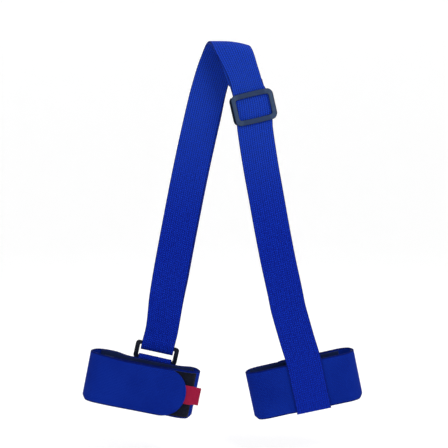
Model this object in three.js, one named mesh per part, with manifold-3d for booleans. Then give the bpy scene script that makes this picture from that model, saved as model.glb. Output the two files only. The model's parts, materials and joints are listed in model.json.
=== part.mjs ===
// Adjustable shoulder carry strap with two hook-and-loop cuffs.
// One length of webbing runs from the right-hand cuff up the right leg, over the crown and
// down the left leg, turns round a rectangular ring and comes back underneath to a
// three-bar slider. Lengths are in millimetres, +Z is up, and the origin is the underside
// of the crown, where the strap rests on a shoulder. The right leg hangs on the -Y side.

import * as THREE from 'three';
import { mergeVertices } from 'three/addons/utils/BufferGeometryUtils.js';
import Module from 'manifold-3d';

const wasm = await Module();
wasm.setup();

// Webbing of the two legs
const webbingWidth = 38;
const webbingThickness = 1.5;
const gap = 0.3; // clearance left between pieces that touch
const crownInnerRadius = 11;
const crownSkirt = 2.1; // straight webbing below the crown's bend, down to each leg's seam
const leftSplitDrop = 141; // down from the crown, to the seam above the stretch that shortens

// Slider
const sliderSideClearance = 1.6; // between the webbing's edge and each rail
const sliderHeight = 32.5;
const sliderBar = 5.6;
const sliderRail = 3;
const sliderPlate = 2.4;
const sliderCorner = 5;
const sliderEdge = 0.5;
const sliderTilt = 13; // degrees, right side up
const sliderDrop = 67.1;
const sliderSpread = 26.6; // sideways from the middle of the crown
const windowCorner = 1.5;
const centreBarHeight = 4.4;
const centreBarDepth = 2.4;
const endLoopAbove = 10.75; // the turned end's front layer, above the slider's top edge
const endTailAbove = 7.75; // and its back layer, which is sewn to the front one
const endSeamHeight = 7;
const endSeamMargin = 4; // from the webbing's edges
const endSeamBelow = 2.5; // from the cut end of the back layer
const endCloses = 3; // the turned end's layers close up this far below the slider's top edge
const centreBarRounding = 0.49; // corner radius, as a share of the middle bar's depth
const railSetIn = 0.4; // the rails are thinner than the plate's sides by this much

// Ring between the left leg and its cuff
const ringSideClearance = 1.45;
const ringHeight = 20.2;
const ringBar = 3.8;
const ringSideBar = 4;
const ringCorner = 3.5;
const ringEdge = 1.3;
const ringTilt = -12.75; // degrees, right side down
const ringDrop = 329.85; // down from the crown, to the middle of the ring's top bar
const ringSpread = 77.87;
const barClearance = 0.5; // between a bar and the webbing turned round it
const loopSlack = 3.6; // how far the leg's loop hangs below the middle of the top bar
const loopTop = 19.5;
const legInRing = 0.6; // the leg sits this far to the right of the ring's middle
const tabFrontEnd = 26;
const tabBackEnd = 28;
const tabSeamHeight = 12;
const tabSeamMargin = 3;
const tabSeamAbove = 2; // from the tab's cut end
const ringWindowCorner = 1;
const loopCloses = 7.5; // the loop's two layers close up this far below its top
const layersOpen = 1; // above or below a bar, the two layers start to close up

// Cuffs
const cuffWidth = 122;
const cuffHeight = 54;
const cuffDepth = 24; // outside of the strap side to outside of the under-lap
const cuffWall = 1.5;
const foldReach = 18; // how far each end fold bulges past the flat walls
const patchThickness = 1.2;
const linerThickness = 1.2;
const linerInset = 1; // from where each fold starts
const linerMargin = 3;
const underlapShort = 9; // the under-lap ends this far from the fold that the flap starts at
const loopPatchInset = 8;
const loopPatchTurn = 55; // degrees round the right fold that the loop patch follows
const patchMargin = 2;
const leftFlapReach = 7.2; // the flap's tip, past the start of the opposite fold
const rightFlapReach = 0; // the right-hand cuff is closed a little tighter
const hookPatchStart = 23; // from the flap's root
const hookPatchInset = 13; // from the flap's tip
const hookPatchMargin = 6;
const pullTabWidth = 20.5;
const pullTabRise = 1; // above the middle of the flap
const pullTabInset = 10; // sewn in under the flap's tip
const pullTabReach = 15.2; // beyond the flap's tip
const pullTabLayer = 0.5;
const pullTabSeamWidth = 4;
const pullTabSeamMargin = 1.5;
const leftCuffTilt = -11.5;
const ringAlongCuff = 9; // the ring hangs the cuff a little to the right of its middle
const ringBelowRim = 2.3; // the ring's bottom bar, below the level of the cuff's rim
const rightCuffTilt = 12;
const rightCuffDrop = 369.7; // down from the crown, to the middle of the cuff
const rightCuffSpread = 84.05;
const strapOnCuff = 4; // the strap's middle, to the right of the cuff's middle
const strapOnCuffLean = 13.2;
const strapEndBelow = 1; // the sewn end, below the cuff's edge
const strapSeamMargin = 2.5; // from the strap's edges
const strapSeamShort = 7; // from the cuff's two rims
const strapSeamDown = 1; // and a little lower than midway
const flexAbove = 3.8; // the bend of the strap, above the cuff's rim
const leftSag = 3.2; // the left cuff's strap side hangs lower than its rim by this much
const sagFlat = 26;
const sagFade = 20;
const sagDepth = 4; // the sag fades out this close to the front and back walls

// Raised thread of the sewn seams
const threadHeight = 0.4;
const threadWidth = 1.2;
const threadGap = 0.1;
const threadCorner = 1;
const threadInnerCorner = 0.5;

const colours = {
  webbing: 0x1a2fa6,
  cuff: 0x10207f,
  plastic: 0x2c3446,
  ring: 0x0c0f18,
  lining: 0x101a24,
  hookAndLoop: 0x090c12,
  tab: 0xa3172f,
  thread: 0x16289a,
};

function material(name, roughness) {
  return new THREE.MeshStandardMaterial({ color: colours[name], roughness, metalness: 0 });
}

function named(name, geometry, meshMaterial) {
  const mesh = new THREE.Mesh(geometry, meshMaterial);
  mesh.name = name;
  return mesh;
}

const webbingMaterial = () => material('webbing', 0.85);
const cuffMaterial = () => material('cuff', 0.8);
const threadMaterial = () => material('thread', 0.7);

// Layers of the webbing, counted outwards from the inside of the crown
const innerLayer = crownInnerRadius;
const outerLayer = innerLayer + webbingThickness + gap;
const layerTop = outerLayer + webbingThickness;
const midRadius = (innerLayer + layerTop) / 2;
const quarterTurn = (midRadius * Math.PI) / 2;

// Distance along the webbing from the top of the crown, down to a height below the bend
const stationAt = (z) => quarterTurn - crownInnerRadius - z;

const radians = THREE.MathUtils.degToRad;
const sliderAt = [sliderSpread, -sliderDrop];
const ringTopBarAt = [-ringSpread, -ringDrop];
const rightCuffAt = [rightCuffSpread, -rightCuffDrop];

// A point given sideways and upwards in a tilted piece's own directions
function tiltedPoint(place, degrees, sideways, up) {
  const turn = radians(degrees);
  return [
    place[0] + sideways * Math.cos(turn) - up * Math.sin(turn),
    place[1] + sideways * Math.sin(turn) + up * Math.cos(turn),
  ];
}

const ringBottomBarAt = tiltedPoint(ringTopBarAt, ringTilt, 0, ringBar - ringHeight);
const leftCuffAt = tiltedPoint(ringBottomBarAt, leftCuffTilt,
  -ringAlongCuff, ringBelowRim - cuffHeight / 2);
const endLoopTop = sliderHeight / 2 + endLoopAbove;
const endLoopTail = sliderHeight / 2 + endTailAbove;

const crownReach = quarterTurn + crownSkirt;
const leftSplit = stationAt(-leftSplitDrop);
const innerRunEnd = stationAt(tiltedPoint(sliderAt, sliderTilt, 0, endLoopTop)[1]) - gap;
const leftRunEnd = stationAt(tiltedPoint(ringTopBarAt, ringTilt, 0, loopTop)[1]) - gap;
const cuffRim = tiltedPoint(rightCuffAt, rightCuffTilt, 0, cuffHeight / 2)[1];
const cuffSeam = stationAt(cuffRim + flexAbove);
const strapEnd = stationAt(2 * rightCuffAt[1] - cuffRim - strapEndBelow);

// The middle of the webbing as it would lie unfolded: distance from the top of the crown,
// positive down the right leg, and sideways place. The slider runs on a straight stretch.
const sliderRunLean = 9.35;
const sliderRunAbove = 16;
const sliderRunBelow = 169;
const webbingInSlider = -0.2; // the webbing's middle, sideways from the slider's
const sliderStation = stationAt(sliderAt[1]);

function onSliderRun(below) {
  const across = below * Math.tan(radians(sliderRunLean));
  return [sliderStation + below, sliderAt[0] + webbingInSlider + across];
}

// The left leg falls away fast under the crown and then more steeply: shares of its drop and
// of its spread, down to the ring
const leftRoute = [[0.815, 0.864], [0.6, 0.698], [0.39, 0.518], [0.18, 0.317], [0.075, 0.177]];
const rightRoute = [0.35, 0.474]; // down to the slider, in the same way
const rightBow = [0.52, 0.49]; // below the slider's run: shares of the way down and sideways

function inRing(up) {
  const [x, z] = tiltedPoint(ringTopBarAt, ringTilt, legInRing, up);
  return [-stationAt(z), x];
}

function onCuff(up) {
  const x = rightCuffAt[0] + strapOnCuff - up * Math.tan(radians(strapOnCuffLean));
  return [stationAt(rightCuffAt[1] + up), x];
}

// The bow of the right leg between the slider's run and the cuff
function onBow(share, sideways) {
  const start = onSliderRun(sliderRunBelow);
  const end = onCuff(cuffHeight / 2 + flexAbove);
  return [
    THREE.MathUtils.lerp(start[0], end[0], share),
    THREE.MathUtils.lerp(start[1], end[1], sideways),
  ];
}

const middlePoints = [
  inRing(0),
  inRing(loopTop),
  ...leftRoute.map(([drop, spread]) => [
    -stationAt(-drop * ringDrop),
    -spread * (ringSpread - legInRing),
  ]),
  [0, 0],
  [stationAt(-sliderDrop * rightRoute[0]), sliderSpread * rightRoute[1]],
  ...[0, 0.2, 0.4, 0.6, 0.8, 1].map((share) =>
    onSliderRun(THREE.MathUtils.lerp(-sliderRunAbove, sliderRunBelow, share))),
  onBow(...rightBow),
  onCuff(cuffHeight / 2 + flexAbove),
  onCuff(0),
  onCuff(-cuffHeight / 2 - flexAbove),
];
const middle = new THREE.CubicInterpolant(
  middlePoints.map((point) => point[0]), middlePoints.map((point) => point[1]), 1);
const middleX = (station) => middle.evaluate(station)[0];
const leanAt = (station) => Math.atan(middleX(station + 0.5) - middleX(station - 0.5));

// From the unfolded webbing to its place: over a half turn at the crown, straight below it
function foldedPlace(x, station, radius) {
  if (Math.abs(station) < quarterTurn) {
    const angle = station / midRadius;
    const height = radius * Math.cos(angle) - crownInnerRadius;
    return new THREE.Vector3(x, -radius * Math.sin(angle), height);
  }
  const drop = Math.abs(station) - quarterTurn;
  return new THREE.Vector3(x, -Math.sign(station) * radius, -crownInnerRadius - drop);
}

const stationHeight = (station) => foldedPlace(0, station, midRadius).z;

// One stretch of webbing between two stations. A cut is the angle between an end and the
// X axis, and turns evenly from one end to the other while the width stays as it is.
function webbingRun(from, to, radius, cutFrom, cutTo, step) {
  const segments = Math.max(2, Math.round(Math.abs(to - from) / step));
  const geometry = new THREE.BoxGeometry(1, 1, 1, segments, 1, 1);
  const position = geometry.attributes.position;
  for (let i = 0; i < position.count; i += 1) {
    const along = position.getX(i) + 0.5;
    const station = THREE.MathUtils.lerp(from, to, along);
    const lean = leanAt(station);
    const cut = THREE.MathUtils.lerp(cutFrom, cutTo, along);
    const across = (position.getY(i) * webbingWidth) / Math.cos(lean - cut);
    const x = middleX(station) + across * Math.cos(cut);
    const place = foldedPlace(x, station - across * Math.sin(cut),
      radius + (position.getZ(i) + 0.5) * webbingThickness);
    position.setXYZ(i, place.x, place.y, place.z);
  }
  geometry.computeVertexNormals();
  return geometry;
}

const straightStep = 8;
const bendSteps = 12;

// Where to cut a path into short straight pieces, as shares of its length
function pathStops(path, from, to) {
  const total = path.getLength();
  const stops = [];
  let passed = 0;
  for (const curve of path.curves) {
    const length = curve.getLength();
    const steps = curve.isLineCurve ? Math.ceil(length / straightStep) : bendSteps;
    for (let i = 0; i <= steps; i += 1) stops.push((passed + (length * i) / steps) / total);
    passed += length;
  }
  const apart = 0.05 / total;
  const inside = stops.filter((at) => at > from + apart && at < to - apart);
  return [from, ...inside.filter((at, i) => i === 0 || at - inside[i - 1] > apart), to];
}

// A sheet's section: the band between two offsets from a path, outwards being to its right
function sheetSection(path, near, far, from = 0, to = 1) {
  const nearSide = [];
  const farSide = [];
  for (const at of pathStops(path, from, to)) {
    const point = path.getPointAt(at);
    const along = path.getTangentAt(at);
    const outwards = new THREE.Vector2(along.y, -along.x);
    nearSide.push(point.clone().addScaledVector(outwards, near));
    farSide.push(point.clone().addScaledVector(outwards, far));
  }
  return new THREE.Shape([...farSide, ...nearSide.reverse()]);
}

const axisX = new THREE.Vector3(1, 0, 0);
const axisY = new THREE.Vector3(0, 1, 0);
const axisZ = new THREE.Vector3(0, 0, 1);

// Extrude a section drawn in (y, z) along x, centred
function acrossWidth(shape, width, centre = 0, arcSteps = 5) {
  const geometry = new THREE.ExtrudeGeometry(shape, {
    depth: width,
    bevelEnabled: false,
    curveSegments: arcSteps,
  });
  geometry.translate(0, 0, centre - width / 2);
  return geometry.applyMatrix4(new THREE.Matrix4().makeBasis(axisY, axisZ, axisX));
}

// Extrude an outline drawn in (x, z) along y, from one depth to another
function throughDepth(shape, nearY, farY, bevel = 0, arcSteps = 5) {
  const geometry = new THREE.ExtrudeGeometry(shape, {
    depth: farY - nearY - 2 * bevel,
    bevelEnabled: bevel > 0,
    bevelThickness: bevel,
    bevelSize: bevel,
    bevelOffset: -bevel,
    bevelSegments: 2,
    curveSegments: arcSteps,
  });
  geometry.translate(0, 0, bevel - farY);
  return geometry.applyMatrix4(
    new THREE.Matrix4().makeBasis(axisX, axisZ, axisY.clone().negate()));
}

function roundedRectangle(width, height, radius, Kind = THREE.Shape) {
  const x = width / 2;
  const z = height / 2;
  const outline = new Kind();
  outline.moveTo(-x + radius, -z);
  outline.lineTo(x - radius, -z);
  outline.absarc(x - radius, -z + radius, radius, -Math.PI / 2, 0, false);
  outline.lineTo(x, z - radius);
  outline.absarc(x - radius, z - radius, radius, 0, Math.PI / 2, false);
  outline.lineTo(-x + radius, z);
  outline.absarc(-x + radius, z - radius, radius, Math.PI / 2, Math.PI, false);
  outline.lineTo(-x, -z + radius);
  outline.absarc(-x + radius, -z + radius, radius, Math.PI, Math.PI * 1.5, false);
  return outline;
}

function toManifold(geometry) {
  const bare = geometry.clone();
  bare.deleteAttribute('normal');
  bare.deleteAttribute('uv');
  const merged = mergeVertices(bare, 1e-4);
  return new wasm.Manifold(new wasm.Mesh({
    numProp: 3,
    vertProperties: new Float32Array(merged.attributes.position.array),
    triVerts: new Uint32Array(merged.index.array),
  }));
}

function fromManifold(solid) {
  const mesh = solid.getMesh();
  const geometry = new THREE.BufferGeometry();
  geometry.setAttribute('position', new THREE.BufferAttribute(mesh.vertProperties, 3));
  geometry.setIndex(new THREE.BufferAttribute(mesh.triVerts, 1));
  geometry.computeVertexNormals();
  return geometry;
}

function joined(...geometries) {
  const solids = geometries.map(toManifold);
  return fromManifold(solids.slice(1).reduce((sum, solid) => sum.add(solid), solids[0]));
}

function tilted(place, y, degrees) {
  const group = new THREE.Group();
  group.position.set(place[0], y, place[1]);
  group.rotation.y = radians(-degrees);
  return group;
}

// A sewn box: a flat thread frame lying on a face, drawn in (x, z)
function threadBox(width, height, faceY, outward) {
  const shape = roundedRectangle(width, height, threadCorner);
  shape.holes.push(roundedRectangle(
    width - 2 * threadWidth, height - 2 * threadWidth, threadInnerCorner, THREE.Path));
  const near = faceY + outward * threadGap;
  const far = faceY + outward * (threadGap + threadHeight);
  return throughDepth(shape, Math.min(near, far), Math.max(near, far), 0, 2);
}

// Webbing of the crown and the legs
function webbing() {
  const group = new THREE.Group();
  const seam = crownReach + gap / 2;
  const crown = crownReach - gap / 2;
  const sliderCut = radians(sliderTilt);
  const ringCut = radians(-ringTilt);
  const splitCut = leanAt(-leftSplit);
  const cuffCut = leanAt(cuffSeam);
  const runs = [
    ['crown_outer', -crown, crown, outerLayer, 0, 0, 2.6],
    ['crown_inner', -crown, crown, innerLayer, 0, 0, 2.6],
    ['right_outer_run', seam, cuffSeam - gap / 2, outerLayer, 0, cuffCut, 7],
    ['right_inner_run', seam, innerRunEnd, innerLayer, 0, sliderCut, 5],
    ['right_sewn_run', cuffSeam + gap / 2, strapEnd, outerLayer, cuffCut, leanAt(strapEnd), 12],
    ['left_outer_upper', -leftSplit + gap / 2, -seam, outerLayer, splitCut, 0, 7],
    ['left_inner_upper', -leftSplit + gap / 2, -seam, innerLayer, splitCut, 0, 7],
    ['left_outer_lower', -leftRunEnd, -leftSplit - gap / 2, outerLayer, ringCut, splitCut, 8],
    ['left_inner_lower', -leftRunEnd, -leftSplit - gap / 2, innerLayer, ringCut, splitCut, 8],
  ];
  for (const [name, ...run] of runs) {
    group.add(named(name, webbingRun(...run), webbingMaterial()));
  }
  return group;
}

// Three-bar slider: the top and bottom bars lie in front of the webbing, and the middle bar
// is set back behind it, where the end of the inner layer is turned round it and sewn
function slider() {
  const group = tilted(sliderAt, 0, sliderTilt);
  const plateBack = -layerTop - gap;
  const plateFront = plateBack - sliderPlate;
  const frontLayer = -outerLayer + gap + webbingThickness / 2;
  const barFront = frontLayer + webbingThickness / 2 + gap;
  const barMiddle = barFront + centreBarDepth / 2;
  const barBack = barFront + centreBarDepth;
  const inside = webbingWidth + 2 * sliderSideClearance;
  const sliderWidth = inside + 2 * sliderRail;

  const plate = roundedRectangle(sliderWidth, sliderHeight, sliderCorner);
  plate.holes.push(
    roundedRectangle(inside, sliderHeight - 2 * sliderBar, windowCorner, THREE.Path));
  const rail = new THREE.Shape();
  const railEnd = sliderHeight / 2 - sliderCorner;
  const railFront = (plateFront + plateBack) / 2;
  const railShoulder = plateBack + sliderPlate / 2;
  rail.moveTo(railFront, -railEnd);
  rail.lineTo(railShoulder, -railEnd);
  rail.lineTo(barBack, -centreBarHeight / 2);
  rail.lineTo(barBack, centreBarHeight / 2);
  rail.lineTo(railShoulder, railEnd);
  rail.lineTo(railFront, railEnd);
  rail.closePath();
  const railX = (inside + sliderRail) / 2;
  const railWidth = sliderRail - railSetIn;
  const bar = roundedRectangle(
    centreBarDepth, centreBarHeight, centreBarRounding * centreBarDepth);
  const barGeometry = acrossWidth(bar, inside + sliderRail / 3);
  barGeometry.translate(0, barMiddle, 0);
  group.add(named('slider', joined(
    throughDepth(plate, plateFront, plateBack, sliderEdge),
    acrossWidth(rail, railWidth, -railX),
    acrossWidth(rail, railWidth, railX),
    barGeometry,
  ), material('plastic', 0.4)));

  const turn = barMiddle - frontLayer;
  const turnZ = -(centreBarHeight - centreBarDepth) / 2;
  const tail = frontLayer + webbingThickness + gap;
  const closeFrom = centreBarHeight / 2 + layersOpen;
  const closeTo = sliderHeight / 2 - endCloses;
  const closeMiddle = (closeFrom + closeTo) / 2;
  const path = new THREE.Path();
  path.moveTo(frontLayer, endLoopTop);
  path.lineTo(frontLayer, turnZ);
  path.absarc(barMiddle, turnZ, turn, Math.PI, 2 * Math.PI, false);
  path.lineTo(barMiddle + turn, closeFrom);
  path.bezierCurveTo(barMiddle + turn, closeMiddle, tail, closeMiddle, tail, closeTo);
  path.lineTo(tail, endLoopTail);
  const half = webbingThickness / 2;
  group.add(named('slider_end_loop',
    acrossWidth(sheetSection(path, -half, half), webbingWidth), webbingMaterial()));

  const tack = threadBox(webbingWidth - 2 * endSeamMargin, endSeamHeight, tail + half, 1);
  tack.translate(0, 0, endLoopTail - endSeamHeight / 2 - endSeamBelow);
  group.add(named('slider_end_seam', tack, threadMaterial()));
  return group;
}

// Ring, the leg's loop round its top bar and the cuff's tab round its bottom bar
function ringEnd() {
  const group = tilted(ringTopBarAt, midRadius, ringTilt);
  const inside = webbingWidth + 2 * ringSideClearance;
  const outline = roundedRectangle(inside + 2 * ringSideBar, ringHeight, ringCorner);
  outline.holes.push(
    roundedRectangle(inside, ringHeight - 2 * ringBar, ringWindowCorner, THREE.Path));
  const ring = throughDepth(outline, -ringBar / 2, ringBar / 2, ringEdge);
  ring.translate(0, 0, ringBar / 2 - ringHeight / 2);
  group.add(named('ring', ring, material('ring', 0.35)));

  const half = webbingThickness / 2;
  const turn = ringBar / 2 + barClearance + half;
  const layer = (webbingThickness + gap) / 2;
  const openFrom = ringBar / 2 + layersOpen;
  const openTo = loopTop - loopCloses;
  const openMiddle = (openFrom + openTo) / 2;
  const loop = new THREE.Path();
  loop.moveTo(layer, loopTop);
  loop.lineTo(layer, openTo);
  loop.bezierCurveTo(layer, openMiddle, turn, openMiddle, turn, openFrom);
  loop.lineTo(turn, -loopSlack);
  loop.absarc(0, -loopSlack, turn, 0, -Math.PI, true);
  loop.lineTo(-turn, openFrom);
  loop.bezierCurveTo(-turn, openMiddle, -layer, openMiddle, -layer, openTo);
  loop.lineTo(-layer, loopTop);
  group.add(named('ring_loop',
    acrossWidth(sheetSection(loop, -half, half), webbingWidth, legInRing),
    webbingMaterial()));

  const barZ = ringBar - ringHeight;
  const back = -turn + webbingThickness + gap;
  const tab = new THREE.Path();
  tab.moveTo(-turn, barZ - tabFrontEnd);
  tab.lineTo(-turn, barZ);
  tab.absarc(0, barZ, turn, Math.PI, 0, true);
  const tabOpen = barZ - ringBar / 2; // the two layers of the tab close up below the bar
  const tabClosed = barZ - tabBackEnd / 2;
  tab.lineTo(turn, tabOpen);
  tab.bezierCurveTo(turn, (tabOpen + tabClosed) / 2, back, (tabOpen + tabClosed) / 2,
    back, tabClosed);
  tab.lineTo(back, barZ - tabBackEnd);
  group.add(named('ring_tab',
    acrossWidth(sheetSection(tab, -half, half), webbingWidth), webbingMaterial()));

  const seam = threadBox(webbingWidth - 2 * tabSeamMargin, tabSeamHeight, back + half, 1);
  seam.translate(0, 0, barZ - tabBackEnd + tabSeamHeight / 2 + tabSeamAbove);
  group.add(named('ring_tab_seam', seam, threadMaterial()));
  return group;
}

// Depths of a cuff's layers, measured from the outside of its strap side
const underlapFace = -cuffDepth;
const loopPatchFace = underlapFace - gap - patchThickness;
const hookPatchBack = loopPatchFace - gap;
const flapBack = hookPatchBack - patchThickness - gap;
const flapFace = flapBack - cuffWall;
const foldX = cuffWidth / 2 - foldReach;
const underlapEnd = -foldX + underlapShort;

// The middle line of a cuff's wall: under-lap, right fold, strap side, left fold
function cuffPath() {
  const half = cuffWall / 2;
  const front = underlapFace + half;
  const back = -half;
  const flapLevel = flapFace + half;
  const path = new THREE.Path();
  path.moveTo(underlapEnd, front);
  path.lineTo(foldX, front);
  path.absellipse(foldX, (front + back) / 2, foldReach - half, (back - front) / 2,
    -Math.PI / 2, Math.PI / 2, false, 0);
  path.lineTo(-foldX, back);
  path.absellipse(-foldX, (flapLevel + back) / 2, foldReach - half, (back - flapLevel) / 2,
    Math.PI / 2, Math.PI * 1.5, false, 0);
  return path;
}

function flapOutline(rootX, tipX, height) {
  const radius = height / 2;
  const outline = new THREE.Shape();
  outline.moveTo(rootX, -radius);
  outline.lineTo(tipX - radius, -radius);
  outline.absarc(tipX - radius, 0, radius, -Math.PI / 2, Math.PI / 2, false);
  outline.lineTo(rootX, radius);
  outline.closePath();
  return outline;
}

function rectangle(x0, x1, z0, z1) {
  return new THREE.Shape([
    new THREE.Vector2(x0, z0), new THREE.Vector2(x1, z0),
    new THREE.Vector2(x1, z1), new THREE.Vector2(x0, z1)]);
}

// Lower the strap side of a cuff where its ring hangs, fading out towards both folds
function sagged(geometry, sag) {
  const position = geometry.attributes.position;
  for (let i = 0; i < position.count; i += 1) {
    const sideways = Math.abs(position.getX(i) - ringAlongCuff);
    const across = 1 - THREE.MathUtils.smoothstep(sideways, sagFlat, sagFlat + sagFade);
    const inside = THREE.MathUtils.smoothstep(
      position.getY(i), underlapFace + sagDepth, -sagDepth);
    position.setZ(i, position.getZ(i) - sag * across * inside);
  }
  geometry.computeVertexNormals();
  return geometry;
}

function cuff(side, flapReach, sag) {
  const group = new THREE.Group();
  const flapTip = foldX + flapReach;
  const path = cuffPath();
  const upright = (shape, height) => {
    const geometry = new THREE.ExtrudeGeometry(shape, { depth: height, bevelEnabled: false });
    return sagged(geometry.translate(0, 0, -height / 2), sag);
  };
  const half = cuffWall / 2;
  const bandShape = sheetSection(path, -half, half);
  group.add(named(`${side}_cuff_band`, upright(bandShape, cuffHeight), cuffMaterial()));

  const total = path.getLength();
  const lapLength = foldX - underlapEnd;
  const foldLength = path.curves[1].getLength();
  const patchFrom = loopPatchInset / total;
  const patchTo = (lapLength + (foldLength * loopPatchTurn) / 180) / total;
  const patchNear = half + gap;
  const patchShape = sheetSection(path, patchNear, patchNear + patchThickness,
    patchFrom, patchTo);
  group.add(named(`${side}_loop_patch`,
    upright(patchShape, cuffHeight - 2 * patchMargin), material('hookAndLoop', 0.95)));

  const linerZ = cuffHeight / 2 - linerMargin;
  const linerLevels = {
    strap: [-cuffWall - gap - linerThickness, -cuffWall - gap],
    lap: [underlapFace + cuffWall + gap, underlapFace + cuffWall + gap + linerThickness],
  };
  const linerEnd = foldX - linerInset;
  const liner = (from, levels) =>
    throughDepth(rectangle(from, linerEnd, -linerZ, linerZ), ...levels);
  group.add(named(`${side}_strap_liner`,
    liner(-linerEnd, linerLevels.strap).translate(0, 0, -sag), material('lining', 0.9)));
  group.add(named(`${side}_lap_liner`,
    liner(underlapEnd + linerMargin, linerLevels.lap), material('lining', 0.9)));

  const flapRoot = -foldX + gap;
  const hookZ = cuffHeight / 2 - hookPatchMargin;
  group.add(named(`${side}_flap`,
    throughDepth(flapOutline(flapRoot, flapTip, cuffHeight), flapFace, flapBack, 0, 24),
    cuffMaterial()));
  group.add(named(`${side}_hook_patch`,
    throughDepth(rectangle(flapRoot + hookPatchStart, flapTip - hookPatchInset, -hookZ, hookZ),
      hookPatchBack - patchThickness, hookPatchBack), material('hookAndLoop', 0.95)));

  const tabTurn = (patchThickness - pullTabLayer) / 2;
  const tabMiddle = hookPatchBack - patchThickness / 2;
  const tabRoot = flapTip - pullTabInset;
  const tabBend = flapTip + pullTabReach - tabTurn - pullTabLayer / 2;
  const tabPath = new THREE.Path();
  tabPath.moveTo(tabRoot, tabMiddle - tabTurn);
  tabPath.lineTo(tabBend, tabMiddle - tabTurn);
  tabPath.absarc(tabBend, tabMiddle, tabTurn, -Math.PI / 2, Math.PI / 2, false);
  tabPath.lineTo(tabRoot, tabMiddle + tabTurn);
  const tabShape = sheetSection(tabPath, -pullTabLayer / 2, pullTabLayer / 2);
  const tab = new THREE.ExtrudeGeometry(tabShape, { depth: pullTabWidth, bevelEnabled: false });
  tab.translate(0, 0, pullTabRise - pullTabWidth / 2);
  group.add(named(`${side}_pull_tab`, tab, material('tab', 0.75)));

  const tabSeam = threadBox(
    pullTabSeamWidth, pullTabWidth - 2 * pullTabSeamMargin, flapFace, -1);
  tabSeam.translate(flapTip - pullTabInset + pullTabSeamWidth, 0, pullTabRise);
  group.add(named(`${side}_pull_tab_seam`, tabSeam, threadMaterial()));
  return group;
}

const loopHalf = ringBar / 2 + barClearance + webbingThickness;
const leftCuff = tilted(leftCuffAt, midRadius - loopHalf - gap, leftCuffTilt);
leftCuff.add(cuff('left', leftFlapReach, leftSag));

const rightCuffFace = -outerLayer + gap;
const rightCuff = tilted(rightCuffAt, rightCuffFace, rightCuffTilt);
const turned = cuff('right', rightFlapReach, 0);
turned.rotation.z = Math.PI;
rightCuff.add(turned);

const strapSeamStation = (cuffSeam + flexAbove + strapEnd) / 2 + strapSeamDown;
const strapSeam = tilted(
  [middleX(strapSeamStation), stationHeight(strapSeamStation)], -layerTop,
  THREE.MathUtils.radToDeg(leanAt(strapSeamStation)));
strapSeam.add(named('right_strap_seam',
  threadBox(webbingWidth - 2 * strapSeamMargin, cuffHeight - 2 * strapSeamShort, 0, -1),
  threadMaterial()));

const strap = new THREE.Group();
strap.add(webbing(), slider(), ringEnd(), leftCuff, rightCuff, strapSeam);

export default strap;
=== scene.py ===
# Shoulder carry strap with two hook-and-loop cuffs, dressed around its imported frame.
# Pieces are modelled in millimetres, the way they are cut and sewn: laid out flat, given
# their thickness, and then laid along the route they take on the strap.
import json
import math

import bmesh
import bpy
from mathutils import Matrix, Vector, noise


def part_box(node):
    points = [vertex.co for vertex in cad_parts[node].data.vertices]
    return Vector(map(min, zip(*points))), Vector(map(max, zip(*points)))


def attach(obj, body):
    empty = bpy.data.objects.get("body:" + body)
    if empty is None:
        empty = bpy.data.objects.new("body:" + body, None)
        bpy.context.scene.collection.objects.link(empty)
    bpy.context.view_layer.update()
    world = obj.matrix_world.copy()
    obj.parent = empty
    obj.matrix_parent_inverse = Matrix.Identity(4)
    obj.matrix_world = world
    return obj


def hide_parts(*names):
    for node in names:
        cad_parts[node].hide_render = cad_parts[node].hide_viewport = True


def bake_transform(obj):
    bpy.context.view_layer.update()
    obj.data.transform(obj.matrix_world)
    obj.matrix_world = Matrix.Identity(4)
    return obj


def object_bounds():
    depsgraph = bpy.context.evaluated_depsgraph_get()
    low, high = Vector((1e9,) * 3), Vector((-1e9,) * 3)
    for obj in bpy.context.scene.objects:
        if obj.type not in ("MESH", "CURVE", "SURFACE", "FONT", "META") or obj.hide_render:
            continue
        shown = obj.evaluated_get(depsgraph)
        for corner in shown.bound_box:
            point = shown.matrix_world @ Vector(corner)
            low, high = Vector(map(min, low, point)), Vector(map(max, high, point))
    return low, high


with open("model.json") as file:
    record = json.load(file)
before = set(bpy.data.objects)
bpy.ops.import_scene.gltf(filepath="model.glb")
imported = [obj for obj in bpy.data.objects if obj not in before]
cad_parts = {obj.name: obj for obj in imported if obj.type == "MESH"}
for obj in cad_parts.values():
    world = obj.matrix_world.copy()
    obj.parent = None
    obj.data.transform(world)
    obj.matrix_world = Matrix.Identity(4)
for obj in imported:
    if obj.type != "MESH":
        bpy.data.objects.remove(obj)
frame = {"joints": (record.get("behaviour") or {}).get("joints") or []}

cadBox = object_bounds()
mm = 0.001
joints = {joint["name"]: joint for joint in frame["joints"]}


def smoothStep(low, high, value):
    share = min(1.0, max(0.0, (value - low) / (high - low)))
    return share * share * (3 - 2 * share)


def jointPlace(name):
    return Vector(joints[name]["pos_m"]) / mm


def tiltOf(name):
    axis = joints[name]["axis"]
    return math.atan2(axis[2], axis[0])


def tiltedFrame(place, tilt, turn=0.0):
    # a piece's own frame: leaned in the X-Z plane, and turned half round for the right cuff
    return (Matrix.Translation(place) @ Matrix.Rotation(-tilt, 4, "Y")
            @ Matrix.Rotation(turn, 4, "Z"))


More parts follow.
